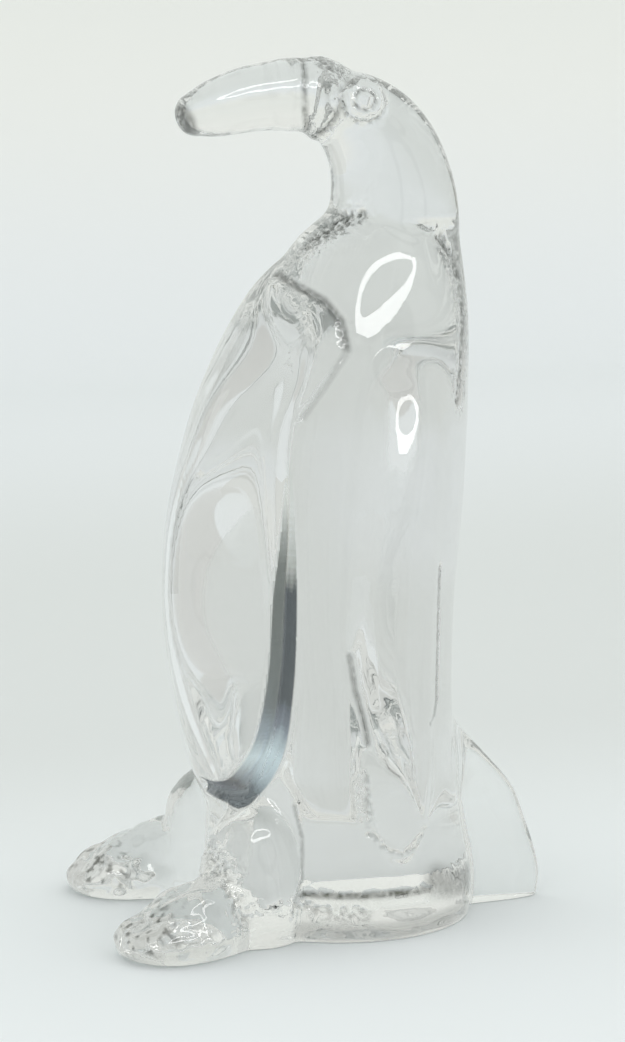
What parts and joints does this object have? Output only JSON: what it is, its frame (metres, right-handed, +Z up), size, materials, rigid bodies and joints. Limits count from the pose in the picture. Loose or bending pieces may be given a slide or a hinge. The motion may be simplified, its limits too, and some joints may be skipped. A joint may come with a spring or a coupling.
{
  "type": "glass penguin figurine",
  "caption": "Standing penguin ornament of clear solid glass, with long drooping beak, bead eyes, oval belly, side flippers, wedge feet and tail fin, resting on a flat base.",
  "frame": {"origin": "centre of the body's round rim, on the flat face that the figurine rests on", "axes": "+Z up, -Y the way the beak points, +X the bird's own left side"},
  "size_m": [0.065, 0.0867, 0.1592],
  "materials": {
    "clear_glass": "clear furnace glass, fire polished, with a very faint green cast where it is thick"
  },
  "bodies": {
    "root": {"body": "clear_glass", "belly": "clear_glass", "head": "clear_glass", "beak_collar": "clear_glass", "beak": "clear_glass", "eye_left": "clear_glass", "eye_right": "clear_glass", "pupil_left": "clear_glass", "pupil_right": "clear_glass", "wing_left": "clear_glass", "wing_right": "clear_glass", "leg_left": "clear_glass", "leg_right": "clear_glass", "foot_left": "clear_glass", "foot_right": "clear_glass", "tail": "clear_glass"}
  },
  "joints": []
}
